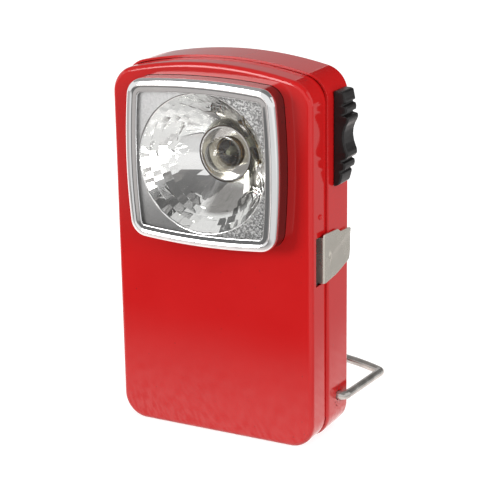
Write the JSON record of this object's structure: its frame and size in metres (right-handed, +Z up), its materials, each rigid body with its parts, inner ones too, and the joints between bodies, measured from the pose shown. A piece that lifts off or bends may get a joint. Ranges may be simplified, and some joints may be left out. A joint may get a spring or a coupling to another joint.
{
  "type": "flat battery torch",
  "caption": "Flat red pocket torch with a square lamp on the front, a side switch, a latch and a wire bail.",
  "frame": {"origin": "middle of the flat base, on the rear shell's bottom wall", "axes": "+Z up, -Y the way the lamp shines, +X towards the switch and latch side"},
  "size_m": [0.081, 0.0684, 0.1242],
  "materials": {
    "red_enamel": "glossy stove enamel",
    "chrome": "bright plate",
    "clear_glass": "clear",
    "mirror": "vapour-coated, lightly faceted",
    "steel": "plain",
    "nickel": "nickel plate",
    "brass": "stamped",
    "black_plastic": "satin moulding",
    "fibre": "vulcanised fibre",
    "card": "printed plain wrap",
    "black_pitch": "poured seal"
  },
  "bodies": {
    "rear_case": {"rear_shell": "red_enamel", "battery_jacket": "card", "battery_lid": "black_pitch", "battery_terminal_short": "brass", "battery_terminal_long": "brass", "battery_liner": "fibre", "switch_board": "fibre", "switch_plate": "brass", "switch_rivet_lower": "brass", "switch_rivet_upper": "brass", "hinge_leaf_rear": "nickel", "hinge_pin": "steel", "hinge_rivet_rear_lower": "nickel", "hinge_rivet_rear_upper": "nickel"},
    "front_case": {"front_shell": "red_enamel", "bezel": "chrome", "lens": "clear_glass", "reflector": "mirror", "retaining_frame": "steel", "bulb_holder": "brass", "bulb_glass": "clear_glass", "bulb_cap": "brass", "bulb_vitrite": "black_pitch", "bulb_tip": "steel", "bulb_stem": "clear_glass", "bulb_filament": "steel", "contact_board": "fibre", "contact_strip": "brass", "contact_rivet": "brass", "hinge_leaf_front": "nickel", "hinge_rivet_front_lower": "nickel", "hinge_rivet_front_upper": "nickel", "latch_bracket": "steel", "latch_rivet": "red_enamel", "latch_pin": "steel"},
    "latch": {"latch_clip": "nickel"},
    "switch": {"switch_slider": "black_plastic", "switch_bridge": "brass", "switch_pin": "steel"},
    "bail": {"wire_bail": "nickel"}
  },
  "joints": [
    {"name": "case_opens", "type": "hinge", "parent": "rear_case", "child": "front_case", "pos_m": [-0.0379, -0.0033, 0.062], "axis": [0, 0, -1], "range_deg": [0, 170]},
    {"name": "latch_lifts", "type": "hinge", "parent": "front_case", "child": "latch", "pos_m": [0.0334, -0.00605, 0.0632], "axis": [0, 0, -1], "range_deg": [0, 20], "stiffness_Nm_per_rad": 0.02, "springref_deg": -11.46},
    {"name": "switch_slides", "type": "slide", "parent": "rear_case", "child": "switch", "axis": [0, 0, -1], "range_m": [0, 0.006]},
    {"name": "bail_swings", "type": "hinge", "parent": "rear_case", "child": "bail", "pos_m": [0, 0.00495, 0.013], "axis": [1, 0, 0], "range_deg": [-225, 76]}
  ]
}
